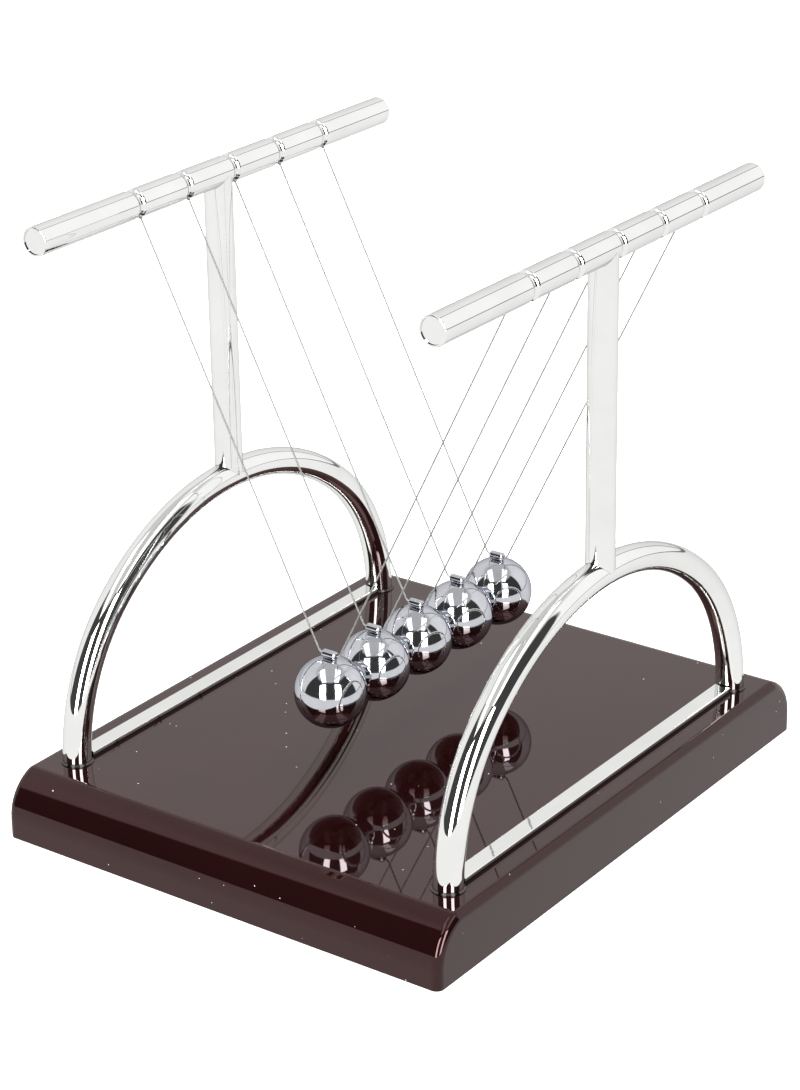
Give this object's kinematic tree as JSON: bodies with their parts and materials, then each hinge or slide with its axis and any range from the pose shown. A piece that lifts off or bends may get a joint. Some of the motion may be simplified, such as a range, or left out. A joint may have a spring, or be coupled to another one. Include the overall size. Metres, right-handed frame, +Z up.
{
  "type": "newton's cradle",
  "caption": "Newton's cradle: steel balls hung by V-shaped nylon lines from grooved bars on two chrome T stands with arched feet, on a dark gloss base.",
  "frame": {"origin": "middle of the base, on the surface that it stands on", "axes": "+X from the left stand to the right stand, +Y along the top bars from near to far, +Z up"},
  "size_m": [0.116, 0.143, 0.1392],
  "materials": {
    "lacquered_plastic": "very dark maroon high gloss lacquer",
    "black_plastic": "fine moulded grain",
    "rubber": "soft black rubber",
    "chrome_plate": "bright mirror chrome",
    "polished_steel": "mirror polished steel",
    "zinc_steel": "zinc plated",
    "brass": "turned brass",
    "nylon_line": "clear nylon line"
  },
  "bodies": {
    "stand": {"base_shell": "lacquered_plastic", "bottom_plate": "black_plastic", "plate_screws": "zinc_steel", "rubber_feet": "rubber", "leg_inserts": "brass", "leg_screws": "zinc_steel", "leg_washers": "zinc_steel", "left_arch": "chrome_plate", "left_tie_strip": "chrome_plate", "left_post": "chrome_plate", "left_top_bar": "chrome_plate", "left_line_tails": "nylon_line", "near_left_collar": "chrome_plate", "far_left_collar": "chrome_plate", "near_left_end_plug": "chrome_plate", "far_left_end_plug": "chrome_plate", "right_arch": "chrome_plate", "right_tie_strip": "chrome_plate", "right_post": "chrome_plate", "right_top_bar": "chrome_plate", "right_line_tails": "nylon_line", "near_right_collar": "chrome_plate", "far_right_collar": "chrome_plate", "near_right_end_plug": "chrome_plate", "far_right_end_plug": "chrome_plate"},
    "ball_1_pendulum": {"ball_1": "polished_steel", "bail_1": "polished_steel", "line_1": "nylon_line", "line_1_left_knot": "nylon_line", "line_1_right_knot": "nylon_line"},
    "ball_2_pendulum": {"ball_2": "polished_steel", "bail_2": "polished_steel", "line_2": "nylon_line", "line_2_left_knot": "nylon_line", "line_2_right_knot": "nylon_line"},
    "ball_3_pendulum": {"ball_3": "polished_steel", "bail_3": "polished_steel", "line_3": "nylon_line", "line_3_left_knot": "nylon_line", "line_3_right_knot": "nylon_line"},
    "ball_4_pendulum": {"ball_4": "polished_steel", "bail_4": "polished_steel", "line_4": "nylon_line", "line_4_left_knot": "nylon_line", "line_4_right_knot": "nylon_line"},
    "ball_5_pendulum": {"ball_5": "polished_steel", "bail_5": "polished_steel", "line_5": "nylon_line", "line_5_left_knot": "nylon_line", "line_5_right_knot": "nylon_line"}
  },
  "joints": [
    {"name": "ball_1_swing", "type": "hinge", "parent": "stand", "child": "ball_1_pendulum", "pos_m": [0, -0.0291, 0.13363], "axis": [1, 0, 0], "range_deg": [-50, 0]},
    {"name": "ball_2_swing", "type": "hinge", "parent": "stand", "child": "ball_2_pendulum", "pos_m": [0, -0.01305, 0.13363], "axis": [1, 0, 0], "range_deg": [-0.02, 0.02]},
    {"name": "ball_3_swing", "type": "hinge", "parent": "stand", "child": "ball_3_pendulum", "pos_m": [0, 0.003, 0.13363], "axis": [1, 0, 0], "range_deg": [-0.02, 0.02]},
    {"name": "ball_4_swing", "type": "hinge", "parent": "stand", "child": "ball_4_pendulum", "pos_m": [0, 0.01905, 0.13363], "axis": [1, 0, 0], "range_deg": [-0.02, 0.02]},
    {"name": "ball_5_swing", "type": "hinge", "parent": "stand", "child": "ball_5_pendulum", "pos_m": [0, 0.0351, 0.13363], "axis": [1, 0, 0], "range_deg": [0, 50]}
  ]
}
